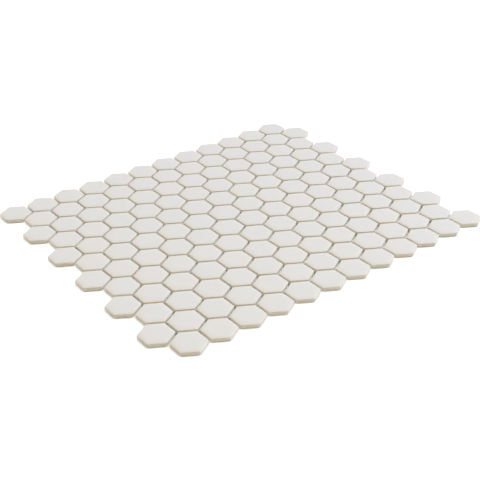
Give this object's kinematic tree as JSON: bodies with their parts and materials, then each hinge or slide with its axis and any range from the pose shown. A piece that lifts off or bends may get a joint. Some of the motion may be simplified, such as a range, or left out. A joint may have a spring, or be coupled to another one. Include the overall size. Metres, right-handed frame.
{
  "type": "mosaic tile sheet",
  "caption": "Flat sheet of small matte off-white hexagonal porcelain tiles in staggered rows, held at an even grout joint by glue dots in the corners of the joints.",
  "frame": {"origin": "middle of the sheet's outline, on the plane that the tile backs lie on", "axes": "+X along the rows of tiles, +Y across the rows, +Z out of the face"},
  "size_m": [0.3104, 0.2648, 0.004],
  "materials": {
    "porcelain": "matte",
    "glue": "satin"
  },
  "bodies": {
    "root": {"tile_row_01": "porcelain", "tile_row_02": "porcelain", "tile_row_03": "porcelain", "tile_row_04": "porcelain", "tile_row_05": "porcelain", "tile_row_06": "porcelain", "tile_row_07": "porcelain", "tile_row_08": "porcelain", "tile_row_09": "porcelain", "tile_row_10": "porcelain", "tile_row_11": "porcelain", "tile_row_12": "porcelain", "glue_dots_01": "glue", "glue_dots_02": "glue", "glue_dots_03": "glue", "glue_dots_04": "glue", "glue_dots_05": "glue", "glue_dots_06": "glue", "glue_dots_07": "glue", "glue_dots_08": "glue", "glue_dots_09": "glue", "glue_dots_10": "glue", "glue_dots_11": "glue"}
  },
  "joints": []
}
